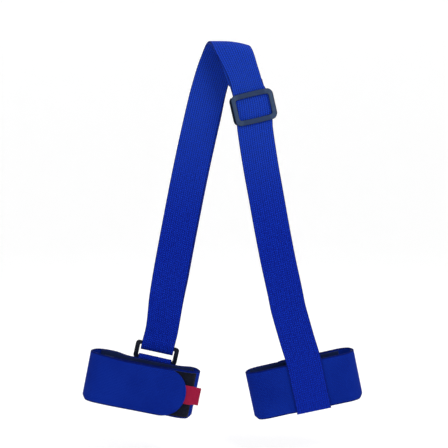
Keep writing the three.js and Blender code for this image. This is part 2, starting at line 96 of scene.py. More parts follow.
def smoothThrough(points):
    # a curve that passes through each (where, value) point without corners
    points = sorted(points)
    last = len(points) - 1

    def slopeAt(i):
        low, high = points[max(0, i - 1)], points[min(last, i + 1)]
        return (high[1] - low[1]) / (high[0] - low[0])

    def value(where):
        i = 0
        while i < last - 1 and where > points[i + 1][0]:
            i += 1
        (x0, y0), (x1, y1) = points[i], points[i + 1]
        span = x1 - x0
        t = (where - x0) / span
        if t < 0:
            return y0 + slopeAt(i) * (where - x0)
        if t > 1:
            return y1 + slopeAt(i + 1) * (where - x1)
        return ((1 + 2 * t) * (1 - t) ** 2 * y0 + t * (1 - t) ** 2 * span * slopeAt(i)
                + t * t * (3 - 2 * t) * y1 - t * t * (1 - t) * span * slopeAt(i + 1))

    return value


def line(start, end, step=2.0):
    steps = max(1, math.ceil((Vector(end) - Vector(start)).length / step))
    return [Vector(start).lerp(Vector(end), i / steps) for i in range(steps + 1)]


def arc(centre, radiusA, radiusB, fromDegrees, toDegrees, step=7.5):
    steps = max(6, math.ceil(abs(toDegrees - fromDegrees) / step))
    angles = [math.radians(fromDegrees + (toDegrees - fromDegrees) * i / steps)
              for i in range(steps + 1)]
    return [Vector((centre[0] + radiusA * math.cos(a), centre[1] + radiusB * math.sin(a)))
            for a in angles]


def easing(start, end, steps=8):
    # from one level to another while going on in the same direction, like a soft S
    return [Vector((start[0] + (end[0] - start[0]) * smoothStep(0, 1, i / steps),
                    start[1] + (end[1] - start[1]) * i / steps)) for i in range(steps + 1)]


# a bent line in a plane, asked for its place and its right-hand side at a distance
class Path:
    def __init__(self, *stretches):
        self.points = [stretches[0][0]]
        for stretch in stretches:
            for point in stretch:
                if (point - self.points[-1]).length > 0.01:
                    self.points.append(point)
        self.reached = [0.0]
        for before, after in zip(self.points, self.points[1:]):
            self.reached.append(self.reached[-1] + (after - before).length)
        self.length = self.reached[-1]

    def tangent(self, i):
        low, high = max(0, i - 1), min(len(self.points) - 1, i + 1)
        return (self.points[high] - self.points[low]).normalized()

    def at(self, distance):
        distance = min(self.length, max(0.0, distance))
        i = 0
        while i < len(self.points) - 2 and distance > self.reached[i + 1]:
            i += 1
        share = (distance - self.reached[i]) / (self.reached[i + 1] - self.reached[i])
        place = self.points[i].lerp(self.points[i + 1], share)
        along = self.tangent(i).lerp(self.tangent(i + 1), share).normalized()
        return place, Vector((along.y, -along.x))


def everything(shape):
    return shape.verts[:] + shape.edges[:] + shape.faces[:]


def rounded(shape, edges, radius, segments, clamp=False):
    bmesh.ops.bevel(shape, geom=edges, offset=radius, offset_type="OFFSET", segments=segments,
                    profile=0.5, affect="EDGES", material=-1, clamp_overlap=clamp)


def flatCut(width, length, thickness, step=3.0, across=12, edge=0.4, joinedEnds=(), tip=None):
    # X is across, Y is along from 0 and Z is the thickness, centred on 0; an end that joins
    # another piece keeps its square edge
    cloth = bmesh.new()
    along = max(2, round(length / step))
    bmesh.ops.create_grid(cloth, x_segments=across, y_segments=along, size=0.5)
    bmesh.ops.translate(cloth, verts=cloth.verts, vec=(0, 0.5, 0))
    bmesh.ops.scale(cloth, verts=cloth.verts, vec=(width, length, 1))
    if tip:
        roundTip(cloth, width, length, tip)
    bmesh.ops.solidify(cloth, geom=cloth.faces[:], thickness=thickness)
    middle = sum(vert.co.z for vert in cloth.verts) / len(cloth.verts)
    bmesh.ops.translate(cloth, verts=cloth.verts, vec=(0, 0, -middle))
    bmesh.ops.recalc_face_normals(cloth, faces=cloth.faces)
    rim = []
    for rimEdge in cloth.edges:
        atEnd = [end for end in joinedEnds
                 if all(abs(vert.co.y - end * length) < 0.01 for vert in rimEdge.verts)]
        if rimEdge.calc_face_angle(0) > 1 and not atEnd:
            rim.append(rimEdge)
    rounded(cloth, rim, edge, 2, clamp=True)
    uv = cloth.loops.layers.uv.new("flat")
    for face in cloth.faces:
        for loop in face.loops:
            loop[uv].uv = (loop.vert.co.x, loop.vert.co.y)
    return cloth


def roundTip(cloth, width, length, tip, cuts=12):
    # trim both corners of the far end to arcs of this radius
    for side in (-1, 1):
        centre = Vector((side * (width / 2 - tip), length - tip, 0))
        for i in range(1, cuts):
            angle = math.radians(90 * i / cuts)
            out = Vector((side * math.cos(angle), math.sin(angle), 0))
            bmesh.ops.bisect_plane(cloth, geom=everything(cloth), plane_co=centre + out * tip,
                                   plane_no=out, clear_outer=True, dist=0.001)


def laid(cloth, place, uvFrom=0.0, uvTurned=False):
    # move each flat point (across, along, level) to where place() says
    uv = cloth.loops.layers.uv.active
    for face in cloth.faces:
        for loop in face.loops:
            u, v = loop[uv].uv
            loop[uv].uv = (v + uvFrom, u) if uvTurned else (u, v + uvFrom)
    for vert in cloth.verts:
        vert.co = place(vert.co.x, vert.co.y, vert.co.z)
    bmesh.ops.recalc_face_normals(cloth, faces=cloth.faces)
    return cloth


def finishPiece(name, shape, material, smoothAngle=50):
    bmesh.ops.scale(shape, verts=shape.verts, vec=(mm, mm, mm))
    mesh = bpy.data.meshes.new(name)
    shape.to_mesh(mesh)
    shape.free()
    mesh.shade_smooth()
    mesh.set_sharp_from_angle(angle=math.radians(smoothAngle))
    mesh.materials.append(material)
    piece = bpy.data.objects.new(name, mesh)
    bpy.context.scene.collection.objects.link(piece)
    return piece


def applied(piece):
    graph = bpy.context.evaluated_depsgraph_get()
    mesh = bpy.data.meshes.new_from_object(piece.evaluated_get(graph))
    piece.modifiers.clear()
    piece.data = mesh
    return piece


# adds and joins shader nodes in a few words
class Nodes:
    def __init__(self, tree):
        self.tree = tree

    def add(self, kind, **settings):
        node = self.tree.nodes.new(kind)
        for key, value in settings.items():
            setattr(node, key, value)
        return node

    def feed(self, socket, value):
        if isinstance(value, bpy.types.NodeSocket):
            self.tree.links.new(value, socket)
        elif value is not None:
            socket.default_value = value

    def math(self, operation, a, b=None, c=None):
        node = self.add("ShaderNodeMath", operation=operation)
        for socket, value in zip(node.inputs, (a, b, c)):
            self.feed(socket, value)
        return node.outputs[0]

    def noise(self, vector, scale, detail=3.0, roughness=0.55):
        node = self.add("ShaderNodeTexNoise")
        self.feed(node.inputs["Vector"], vector)
        self.feed(node.inputs["Scale"], scale)
        self.feed(node.inputs["Detail"], detail)
        self.feed(node.inputs["Roughness"], roughness)
        return node.outputs["Fac"]

    def range(self, value, fromLow, fromHigh, toLow=0.0, toHigh=1.0, smooth=True):
        node = self.add("ShaderNodeMapRange")
        node.interpolation_type = "SMOOTHSTEP" if smooth else "LINEAR"
        for i, number in enumerate((value, fromLow, fromHigh, toLow, toHigh)):
            self.feed(node.inputs[i], number)
        return node.outputs[0]

    def mix(self, share, a, b, blend="MIX"):
        node = self.add("ShaderNodeMix", data_type="RGBA", blend_type=blend)
        self.feed(node.inputs[0], share)
        self.feed(node.inputs[6], a)
        self.feed(node.inputs[7], b)
        return node.outputs[2]


def newGroup(name, inputs, outputs):
    group = bpy.data.node_groups.new(name, "ShaderNodeTree")
    for label, kind, value in inputs:
        socket = group.interface.new_socket(label, in_out="INPUT", socket_type=kind)
        if value is not None:
            socket.default_value = value
    for label, kind in outputs:
        group.interface.new_socket(label, in_out="OUTPUT", socket_type=kind)
    nodes = Nodes(group)
    return group, nodes, nodes.add("NodeGroupInput"), nodes.add("NodeGroupOutput")


floatKind, vectorKind = "NodeSocketFloat", "NodeSocketVector"


def wovenGroup():
    # ribs that run along the tape, each crossed by short threads staggered from rib to rib
    group, nodes, given, result = newGroup(
        "woven tape",
        [("Flat", vectorKind, None), ("Rib", floatKind, 2.0), ("Pick", floatKind, 2.0),
         ("Stagger", floatKind, 0.5), ("Slant", floatKind, 0.0)],
        [("Height", floatKind), ("Valley", floatKind), ("Thread", floatKind)])
    flat = nodes.add("ShaderNodeSeparateXYZ")
    nodes.feed(flat.inputs[0], given.outputs["Flat"])
    ribPlace = nodes.math("DIVIDE", flat.outputs[0], given.outputs["Rib"])
    ribCount = nodes.math("FLOOR", ribPlace)
    inRib = nodes.math("FRACT", ribPlace)
    fromMiddle = nodes.math("ABSOLUTE", nodes.math("SUBTRACT", inRib, 0.5))
    rib = nodes.math("SQRT", nodes.math("MAXIMUM", nodes.math(
        "SUBTRACT", 1.0, nodes.math("POWER", nodes.math("MULTIPLY", fromMiddle, 2.0), 2.0)), 0.0))
    slanted = nodes.math("MULTIPLY", fromMiddle, given.outputs["Slant"])
    pickPlace = nodes.math("ADD", nodes.math("DIVIDE", flat.outputs[1], given.outputs["Pick"]),
                           nodes.math("MULTIPLY_ADD", ribCount, given.outputs["Stagger"], slanted))
    wave = nodes.math("SINE", nodes.math("MULTIPLY", pickPlace, 2 * math.pi))
    pick = nodes.math("MULTIPLY_ADD", wave, 0.5, 0.5)
    height = nodes.math("MULTIPLY", rib, nodes.math("MULTIPLY_ADD", pick, 0.35, 0.65))
    valley = nodes.math("SUBTRACT", 1.0, nodes.range(height, 0.2, 0.85))
    uneven = nodes.range(nodes.noise(given.outputs["Flat"], 0.8, 1.0), 0.35, 0.65)
    nodes.feed(result.inputs["Height"], height)
    nodes.feed(result.inputs["Valley"], valley)
    nodes.feed(result.inputs["Thread"], nodes.math("MULTIPLY", pick, uneven))
    return group


def shadeGroup():
    # slow changes of dye and handling, and fine fibre fuzz, in two readings
    group, nodes, given, result = newGroup(
        "dye and fibre", [("Where", vectorKind, None), ("Patch", floatKind, 18.0),
                          ("Fibre", floatKind, 900.0)],
        [("Dye", floatKind), ("Fuzz", floatKind)])
    patches = nodes.noise(given.outputs["Where"], given.outputs["Patch"], 2.0)
    nodes.feed(result.inputs["Dye"], nodes.range(patches, 0.3, 0.7))
    nodes.feed(result.inputs["Fuzz"],
               nodes.noise(given.outputs["Where"], given.outputs["Fibre"], 4.0, 0.7))
    return group


def mouldedGroup():
    # fine mould grain, the paler polish that handling leaves on raised edges, and a mask of
    # the faces that look sideways, up or down, where the plastic gets painted shade
    group, nodes, given, result = newGroup(
        "moulded grain", [("Where", vectorKind, None), ("Grain", floatKind, 1400.0)],
        [("Edge", floatKind), ("Grain", floatKind), ("Smear", floatKind), ("Side", floatKind)])
    geometry = nodes.add("ShaderNodeNewGeometry")
    coordinates = nodes.add("ShaderNodeTexCoord")
    facing = nodes.add("ShaderNodeSeparateXYZ")
    nodes.feed(facing.inputs[0], coordinates.outputs["Normal"])
    flatness = nodes.math("ABSOLUTE", facing.outputs[1])
    nodes.feed(result.inputs["Side"], nodes.range(flatness, 0.9, 0.45))
    edge = nodes.range(geometry.outputs["Pointiness"], 0.52, 0.6)
    broken = nodes.noise(given.outputs["Where"], 260.0, 4.0)
    nodes.feed(result.inputs["Edge"], nodes.math("MULTIPLY", edge, broken))
    nodes.feed(result.inputs["Grain"],
               nodes.noise(given.outputs["Where"], given.outputs["Grain"], 3.0))
    nodes.feed(result.inputs["Smear"], nodes.noise(given.outputs["Where"], 60.0, 3.0))
    return group


woven, shade, moulded = wovenGroup(), shadeGroup(), mouldedGroup()


def newMaterial(name):
    material = bpy.data.materials.new(name)
    material.use_nodes = True
    nodes = Nodes(material.node_tree)
    return material, nodes, material.node_tree.nodes["Principled BSDF"]


def placed(nodes, group, **inputs):
    node = nodes.add("ShaderNodeGroup", node_tree=group)
    for label, value in inputs.items():
        nodes.feed(node.inputs[label], value)
    return node


def bumped(nodes, shader, height, distance, strength=1.0):
    bump = nodes.add("ShaderNodeBump")
    bump.inputs["Strength"].default_value = strength
    bump.inputs["Distance"].default_value = distance
    nodes.feed(bump.inputs["Height"], height)
    nodes.feed(shader.inputs["Normal"], bump.outputs[0])


def tapeMaterial(name, look):
    material, nodes, shader = newMaterial(name)
    coordinates = nodes.add("ShaderNodeTexCoord")
    flat = coordinates.outputs["UV"]
    weave = placed(nodes, woven, Flat=flat, Rib=look["rib"], Pick=look["pick"],
                   Stagger=look["stagger"], Slant=look["slant"])
    dye = placed(nodes, shade, Where=coordinates.outputs["Object"], Patch=look["patch"])
    base = (*look["colour"], 1)
    # painted light: the colour turns paler and greyer towards the top of the strap, where the light
    # falls on the crown
    if look.get("topLight"):
        place = nodes.add("ShaderNodeSeparateXYZ")
        nodes.feed(place.inputs[0], coordinates.outputs["Object"])
        height = nodes.range(place.outputs[2], look["topLightFrom"] * mm, look["topLightTo"] * mm)
        base = nodes.mix(height, base, (*look["topLight"], 1))
    # painted shade in the weave's valleys and a painted highlight on its raised crossings, in place
    # of the light the fine relief would catch
    colour = nodes.mix(nodes.math("MULTIPLY", weave.outputs["Valley"], look["valley"]),
                       base, (*look["shadow"], 1))
    colour = nodes.mix(nodes.math("MULTIPLY", dye.outputs["Dye"], look["dyeShare"]),
                       colour, (*look["worn"], 1))
    colour = nodes.mix(nodes.math("MULTIPLY", weave.outputs["Thread"], look["thread"]),
                       colour, (*look["crestHighlight"], 1))
    # both edges of a tape are mixed towards the shadow colour: partly the darker selvedge, partly
    # painted shade along the rims
    if look.get("selvedge"):
        uv = nodes.add("ShaderNodeSeparateXYZ")
        nodes.feed(uv.inputs[0], flat)
        fromMiddle = nodes.math("ABSOLUTE", uv.outputs[0])
        edge = nodes.range(fromMiddle, look["selvedge"] - look["selvedgeAndShadeWidth"],
                           look["selvedge"] - look["selvedgeRim"])
        colour = nodes.mix(nodes.math("MULTIPLY", edge, look["selvedgeAndShadeShare"]), colour,
                           (*look["shadow"], 1))
    nodes.feed(shader.inputs["Base Color"], colour)
    nodes.feed(shader.inputs["Roughness"], nodes.math(
        "MULTIPLY_ADD", dye.outputs["Fuzz"], look["fuzzRoughness"], look["roughness"]))
    shader.inputs["Specular IOR Level"].default_value = look["specular"]
    shader.inputs["Sheen Weight"].default_value = look["sheen"]
    shader.inputs["Sheen Roughness"].default_value = look["sheenRoughness"]
    shader.inputs["Sheen Tint"].default_value = (*look["sheenTint"], 1)
    height = nodes.math("MULTIPLY_ADD", dye.outputs["Fuzz"], look["fuzzHeight"],
                        weave.outputs["Height"])
    bumped(nodes, shader, height, look["relief"] * mm)
    return material


tapeLook = {"stagger": 0.5, "fuzzRoughness": 0.15, "fuzzHeight": 0.25, "sheenRoughness": 0.5,
            "selvedgeRim": 0.2, "sheenTint": (0.3, 0.5, 1.0)}     # what every tape shares
webbingLook = {
    **tapeLook, "rib": 2.3, "pick": 2.1, "slant": 0.6, "patch": 16.0, "valley": 1.0,
    "thread": 1.0, "dyeShare": 0.15, "roughness": 0.72, "specular": 0.06, "sheen": 0.02,
    "relief": 0.5, "selvedge": 19.0, "selvedgeAndShadeWidth": 1.3, "selvedgeAndShadeShare": 0.4,
    "colour": (0.0005, 0.0090, 0.240), "shadow": (0.0001, 0.0008, 0.022),
    "worn": (0.0008, 0.0120, 0.235), "crestHighlight": (0.003, 0.034, 0.480),
    # painted light on the crown: paler towards the top
    "topLight": (0.010, 0.044, 0.330), "topLightFrom": -220.0, "topLightTo": -40.0,
}
cuffLook = {
    **tapeLook, "rib": 1.7, "pick": 1.9, "slant": 0.3, "patch": 22.0, "valley": 0.8,
    "thread": 0.6, "dyeShare": 0.35, "roughness": 0.78, "specular": 0.05, "sheen": 0.02,
    "relief": 0.16, "selvedge": 27.0, "selvedgeAndShadeWidth": 2.2, "selvedgeAndShadeShare": 0.8,
    "colour": (0.0006, 0.0115, 0.200), "shadow": (0.0002, 0.002, 0.050),
    "worn": (0.0030, 0.022, 0.260), "crestHighlight": (0.004, 0.032, 0.310),
}
liningLook = {
    **tapeLook, "rib": 1.1, "pick": 1.1, "slant": 0.0, "patch": 30.0, "valley": 0.5,
    "thread": 0.3, "dyeShare": 0.5, "roughness": 0.85, "specular": 0.15, "sheen": 0.05,
    "relief": 0.12, "sheenTint": (1.0, 1.0, 1.0),
    "colour": (0.003, 0.010, 0.055), "shadow": (0.001, 0.004, 0.022),
    "worn": (0.004, 0.013, 0.070), "crestHighlight": (0.008, 0.020, 0.090),
}
ribbonLook = {
    **tapeLook, "rib": 0.8, "pick": 1.0, "slant": 0.0, "patch": 60.0, "valley": 0.5,
    "thread": 0.4, "dyeShare": 0.5, "roughness": 0.6, "specular": 0.12, "sheen": 0.03,
    "relief": 0.10, "sheenTint": (1.0, 0.6, 0.6),
    "colour": (0.260, 0.002, 0.034), "shadow": (0.110, 0.001, 0.012),
    "worn": (0.240, 0.003, 0.028), "crestHighlight": (0.400, 0.012, 0.060),
}
threadLook = {
    **tapeLook, "rib": 0.5, "pick": 0.5, "slant": 0.0, "patch": 80.0, "valley": 0.4,
    "thread": 0.4, "dyeShare": 0.4, "roughness": 0.6, "specular": 0.1, "sheen": 0.02,
    "relief": 0.04,
    "colour": (0.002, 0.015, 0.260), "shadow": (0.0005, 0.004, 0.110),
    "worn": (0.003, 0.018, 0.280), "crestHighlight": (0.008, 0.036, 0.360),
}


def fuzzMaterial(name, look):
    # hook or loop tape: a dense felt of tiny loops
    material, nodes, shader = newMaterial(name)
    where = nodes.add("ShaderNodeTexCoord").outputs["Object"]
    cells = nodes.add("ShaderNodeTexVoronoi")
    nodes.feed(cells.inputs["Vector"], where)
    cells.inputs["Scale"].default_value = look["loops"]
    loops = nodes.math("SUBTRACT", 1.0, nodes.math("MINIMUM", cells.outputs["Distance"], 1.0))
    fibres = nodes.noise(where, look["loops"] * 1.7, 4.0, 0.7)
    height = nodes.math("MULTIPLY", loops, fibres)
    nodes.feed(shader.inputs["Base Color"],
               nodes.mix(nodes.range(height, 0.2, 0.6), (*look["colour"], 1), (*look["tips"], 1)))
    shader.inputs["Roughness"].default_value = 0.95
    shader.inputs["Specular IOR Level"].default_value = 0.1
    shader.inputs["Sheen Weight"].default_value = 0.12
    bumped(nodes, shader, height, look["relief"] * mm)
    return material


loopLook = {"colour": (0.0012, 0.002, 0.008), "tips": (0.006, 0.009, 0.022), "loops": 1100.0,
            "relief": 0.5}
hookLook = {"colour": (0.002, 0.002, 0.004), "tips": (0.03, 0.03, 0.04), "loops": 700.0,
            "relief": 0.7}


def plasticMaterial(name, look):
    material, nodes, shader = newMaterial(name)
    where = nodes.add("ShaderNodeTexCoord").outputs["Object"]
    finish = placed(nodes, moulded, Where=where, Grain=look["grain"])
    side = finish.outputs["Side"]
    if look.get("paintedShadeBehind"):
        # painted shade: what stands further back than the plate's front is painted nearly black, as
        # if in shadow
        place = nodes.add("ShaderNodeSeparateXYZ")
        nodes.feed(place.inputs[0], where)
        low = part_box("slider")[0].y + look["paintedShadeBehind"] * mm
        side = nodes.math("MAXIMUM", side,
                          nodes.range(place.outputs[1], low, low + look["paintedShadeBlend"] * mm))
    colour = nodes.mix(nodes.math("MULTIPLY", finish.outputs["Edge"], look["edge"]),
                       (*look["colour"], 1), (*look["polish"], 1))
    # painted shade: faces that look sideways, up or down, and the parts behind the plate are mixed
    # towards near-black
    colour = nodes.mix(nodes.math("MULTIPLY", side, look["dark"]),
                       colour, (*look["black"], 1))
    nodes.feed(shader.inputs["Base Color"], colour)
    nodes.feed(shader.inputs["Roughness"], nodes.range(
        finish.outputs["Smear"], 0.3, 0.7, look["gloss"], look["gloss"] + look["smear"]))
    nodes.feed(shader.inputs["Specular IOR Level"], nodes.math(
        "MULTIPLY", nodes.math("MULTIPLY_ADD", side, -look["matt"], 1.0), look["specular"]))
    bumped(nodes, shader, finish.outputs["Grain"], look["relief"] * mm, 0.5)
    return material


# black is the painted shade colour of the sideways faces, and dark is how much of it they get
plasticLook = {"grain": 1300.0, "relief": 0.03, "smear": 0.14, "matt": 0.85,
               "black": (0.0015, 0.003, 0.010)}
sliderLook = {**plasticLook, "colour": (0.007, 0.022, 0.068), "polish": (0.040, 0.070, 0.120),
              "edge": 0.7, "gloss": 0.36, "specular": 0.25, "dark": 0.9,
              "paintedShadeBehind": 0.55, "paintedShadeBlend": 0.3}
ringLook = {**plasticLook, "colour": (0.003, 0.005, 0.014), "polish": (0.02, 0.03, 0.06),
            "edge": 0.6, "gloss": 0.30, "specular": 0.12, "dark": 0.5}

webbingCloth = tapeMaterial("blue ribbed webbing", webbingLook)
cuffCloth = tapeMaterial("dark blue cuff tape", cuffLook)
liningCloth = tapeMaterial("dark lining", liningLook)
ribbonCloth = tapeMaterial("crimson ribbon", ribbonLook)
sewingThread = tapeMaterial("blue sewing thread", threadLook)
loopFelt = fuzzMaterial("black loop tape", loopLook)
hookFelt = fuzzMaterial("black hook tape", hookLook)
sliderPlastic = plasticMaterial("slate moulded plastic", sliderLook)
ringPlastic = plasticMaterial("near-black moulded plastic", ringLook)
print("materials made")


webbing = {
    "width": 38.0, "thickness": 1.5, "gap": 0.3, "innerRadius": 11.0,
    "crownSeam": 21.5,      # along the webbing, from the top of the crown to each leg's seam
    "leftSeam": 150.0, "rightSeam": 262.0, "underSeam": 34.0,
    "crownDip": 0.0055,     # the crown falls away towards its right-hand edge
    "dipFrom": -6.0, "dipFade": (6.0, 60.0),
    "creaseHeight": -272.0, "creaseDepth": 0.7, "creaseSpread": 4.0,
    "gatherSpan": (-6.0, 98.0), "underRight": 0.5, "underLeft": 0.3,
    # the two layers of the left leg don't lie exactly on each other
    "layerShift": 1.6, "shiftStarts": (40.0, 90.0), "shiftEnds": (255.0, 300.0),
    "bendRun": 16.0,        # height over which a leg bends at the crown
    "flexAbove": 12.0, "flexBelow": 3.0, "sewnShort": 4.6,
}
# (height, sideways) of the middle of each leg, within 2 mm of the frame's own webbing
rightLeg = [(-23.4, 12.6), (-39.7, 18.8), (-54.7, 23.2), (-68.8, 26.2), (-93.0, 29.1),
            (-127.0, 34.4), (-161.0, 40.6), (-195.4, 46.9), (-230.0, 53.7), (-265.0, 61.4),
            (-282.4, 65.0), (-300.0, 69.9), (-317.5, 75.0), (-339.5, 81.7), (-369.7, 88.5),
            (-398.0, 94.6)]
leftLeg = [(-24.6, -13.6), (-41.7, -19.1), (-58.9, -23.9), (-93.4, -32.1), (-128.1, -39.8),
           (-163.0, -47.0), (-233.6, -60.7), (-269.3, -67.0), (-310.8, -73.0),
           (-329.9, -77.7), (-342.0, -80.4)]

# how far each edge of the near leg moves sideways where the slider gathers it, by station
rightEdge = smoothThrough([(-12, 0), (8, 1.3), (24, 1.1), (40, -0.6), (55, -2.1), (67, 0.9),
                           (80, 1.2), (98, 0)])
leftEdge = smoothThrough([(-6, 0), (8, -0.4), (24, 1.5), (40, 2.7), (56, 1.6), (80, 0.1),
                          (98, 0)])

half = webbing["thickness"] / 2
underRadius = webbing["innerRadius"] + half
overRadius = underRadius + webbing["thickness"] + webbing["gap"]
midRadius = (underRadius + overRadius) / 2
quarterTurn = midRadius * math.pi / 2


def stationAt(z):
    return quarterTurn - webbing["innerRadius"] - z


def heightAt(station):
    return quarterTurn - webbing["innerRadius"] - abs(station)


middleX = smoothThrough([(stationAt(z), x) for z, x in rightLeg] + [(0, 0)]
                        + [(-stationAt(z), x) for z, x in leftLeg])


def leanAt(station):
    return math.atan((middleX(station + 2) - middleX(station - 2)) / 4)


def gathered(across, station, under=False):
    if not webbing["gatherSpan"][0] < station < webbing["gatherSpan"][1]:
        return 0.0
    right = smoothStep(-webbing["width"] / 2, webbing["width"] / 2, across)
    if under:
        return ((rightEdge(station) - webbing["underRight"]) * right
                - webbing["underLeft"] * (1 - right))
    return rightEdge(station) * right + leftEdge(station) * (1 - right)


def onStrap(across, station, radius, shift=0.0):
    lean = leanAt(station)
    x = middleX(station) + (across + shift) * math.cos(lean)
    at = station - (across + shift) * math.sin(lean)
    if abs(at) < quarterTurn:
        angle = at / midRadius
        place = Vector((x, -radius * math.sin(angle),
                        radius * math.cos(angle) - webbing["innerRadius"]))
    else:
        place = Vector((x, -math.copysign(radius, at), heightAt(at)))
    nearCrown = 1 - smoothStep(*webbing["dipFade"], abs(at))
    place.z -= webbing["crownDip"] * max(0.0, x - webbing["dipFrom"]) ** 2 * nearCrown
    if at > 0:
        fromCrease = (place.z - webbing["creaseHeight"]) / webbing["creaseSpread"]
        place.y -= webbing["creaseDepth"] * math.exp(-fromCrease ** 2)
    return place


def layerShift(station):
    return (webbing["layerShift"] * smoothStep(*webbing["shiftStarts"], -station)
            * (1 - smoothStep(*webbing["shiftEnds"], -station)))


def strapPiece(name, fromStation, toStation, radius, shifted=False, joinedEnds=(0, 1), step=2.6):
    length = toStation - fromStation

    def place(across, along, level):
        station = fromStation + along
        moved = gathered(across, station, radius < midRadius)
        if shifted:
            moved += layerShift(station)
        return onStrap(across, station, radius + level, moved)

    cloth = flatCut(webbing["width"], length, webbing["thickness"], step=step,
                    joinedEnds=joinedEnds)
    laid(cloth, place, uvFrom=fromStation)
    return finishPiece(name, cloth, webbingCloth)


seam = webbing["crownSeam"]
crownOver = strapPiece("crownOver", -seam, seam, overRadius, step=1.6)
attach(crownOver, "crown")
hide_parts("crown_outer")
crownUnder = strapPiece("crownUnder", -seam, seam, underRadius, step=1.6)
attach(crownUnder, "crown")
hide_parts("crown_inner")

rightUpper = strapPiece("rightLegUpper", seam, webbing["rightSeam"], overRadius)
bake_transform(rightUpper)
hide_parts("right_outer_run")

flex = jointPlace("right_cuff_flex").z
strapEnd = stationAt(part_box("right_sewn_run")[0].z / mm) - webbing["sewnShort"]
rightLower = strapPiece("rightLegLower", webbing["rightSeam"], strapEnd, overRadius,
                        joinedEnds=(0,))
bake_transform(rightLower)
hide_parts("right_sewn_run")

leftBack = strapPiece("leftLegBack", -webbing["leftSeam"], -seam, overRadius, shifted=True)
leftFront = strapPiece("leftLegFront", -webbing["leftSeam"], -seam, underRadius)
for piece, node in ((leftBack, "left_outer_upper"), (leftFront, "left_inner_upper")):
    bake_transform(piece)
    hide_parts(node)
print("crown and legs laid")


slider = {
    "tilt": 13.0, "height": 32.5, "inside": 41.2, "edge": 0.8, "corner": 5.2,
    # the plate in front, a little narrower than the whole moulding
    "plate": 2.4, "plateWidth": 44.4, "plateShift": 0.8, "plateSide": 4.6, "bar": 5.6,
    "innerCorner": 2.2, "bow": 0.7,
    # the moulding's sides, a little behind the plate
    "sideDepth": 3.0, "sideBack": 0.9, "sideReach": 3.1, "sideShort": 1.0, "sideInner": 2.0,
    "sideCorner": 5.8, "sideInnerCorner": 1.0,
    # the rails that run back to the middle bar, and that bar
    "rail": 3.0, "railSetIn": 0.3, "railShort": 12.0, "railRounding": 0.9, "railTaper": 0.68,
    "taperSpan": (-1.0, 3.2), "centreBarHeight": 4.4, "centreBarDepth": 2.4,
    "centreBarOverlap": 2.0, "centreBarRounding": 1.0,
    # the webbing's sewn end
    "endLoopTop": 27.0, "endLoopTail": 24.0, "endOpens": 3.2, "endCloses": 13.2,
    "endLean": 0.062, "gather": 0.92,
}
sliderLow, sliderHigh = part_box("slider")
sliderMiddle = (sliderLow + sliderHigh) / 2 / mm
sliderFrame = tiltedFrame((sliderMiddle.x, 0, sliderMiddle.z), math.radians(slider["tilt"]))


def mouldedFrame(width, height, sideBar, bar, depth, corner, innerCorner, edge, bow=0.0):
    # a rounded rectangular frame lying in X and Z, with its front at Y 0
    shape = bmesh.new()
    bmesh.ops.create_grid(shape, x_segments=1, y_segments=1, size=0.5)
    bmesh.ops.scale(shape, verts=shape.verts, vec=(width, height, 1))
    border = bmesh.ops.inset_region(shape, faces=shape.faces[:], thickness=sideBar,
                                    use_boundary=True, use_even_offset=True)["faces"]
    inner = [face for face in shape.faces if face not in border]
    for vert in inner[0].verts:
        vert.co.y = math.copysign(height / 2 - bar, vert.co.y)
    bmesh.ops.delete(shape, geom=inner, context="FACES")
    bmesh.ops.solidify(shape, geom=shape.faces[:], thickness=depth)
    for outside, radius, segments in ((False, innerCorner, 4), (True, corner, 6)):
        upright = [e for e in shape.edges if abs(e.verts[0].co.z - e.verts[1].co.z) > depth / 2]
        corners = [e for e in upright if (abs(e.verts[0].co.x) > width / 2 - 0.1) == outside]
        rounded(shape, corners, radius, segments)
    rim = [e for e in shape.edges if len(e.link_faces) == 2 and e.calc_face_angle(0) > 1.2]
    rounded(shape, rim, edge, 3, clamp=True)
    for cut in (-0.3, -0.15, 0, 0.15, 0.3):     # so that the long bars can bow
        bmesh.ops.bisect_plane(shape, geom=everything(shape), plane_co=(cut * width, 0, 0),
                               plane_no=(1, 0, 0))
    for vert in shape.verts:
        share = 1 - (2 * vert.co.x / width) ** 2
        vert.co.y += math.copysign(bow * max(0, share), vert.co.y)
    front = max(vert.co.z for vert in shape.verts)
    bmesh.ops.translate(shape, verts=shape.verts, vec=(0, 0, -front))
    bmesh.ops.rotate(shape, verts=shape.verts, cent=(0, 0, 0),
                     matrix=Matrix.Rotation(math.pi / 2, 3, "X"))
    bmesh.ops.recalc_face_normals(shape, faces=shape.faces)
    return shape


def softBar(size, place, edge):
    bar = bmesh.new()
    bmesh.ops.create_cube(bar, size=1)
    bmesh.ops.scale(bar, verts=bar.verts, vec=size)
    rounded(bar, bar.edges[:], edge, 3)
    bmesh.ops.translate(bar, verts=bar.verts, vec=place)
    return bar


def unionOf(main, others):
    for i, other in enumerate(others):
        helper = bpy.data.objects.new(f"{main.name}Part{i}", bpy.data.meshes.new("part"))
        bmesh.ops.scale(other, verts=other.verts, vec=(mm, mm, mm))
        other.to_mesh(helper.data)
        other.free()
        bpy.context.scene.collection.objects.link(helper)
        join = main.modifiers.new("join", "BOOLEAN")
        join.operation, join.object, join.solver = "UNION", helper, "EXACT"
        bpy.context.view_layer.update()
        applied(main)
        bpy.data.objects.remove(helper)
    main.data.shade_smooth()
    main.data.set_sharp_from_angle(angle=math.radians(40))
    return main


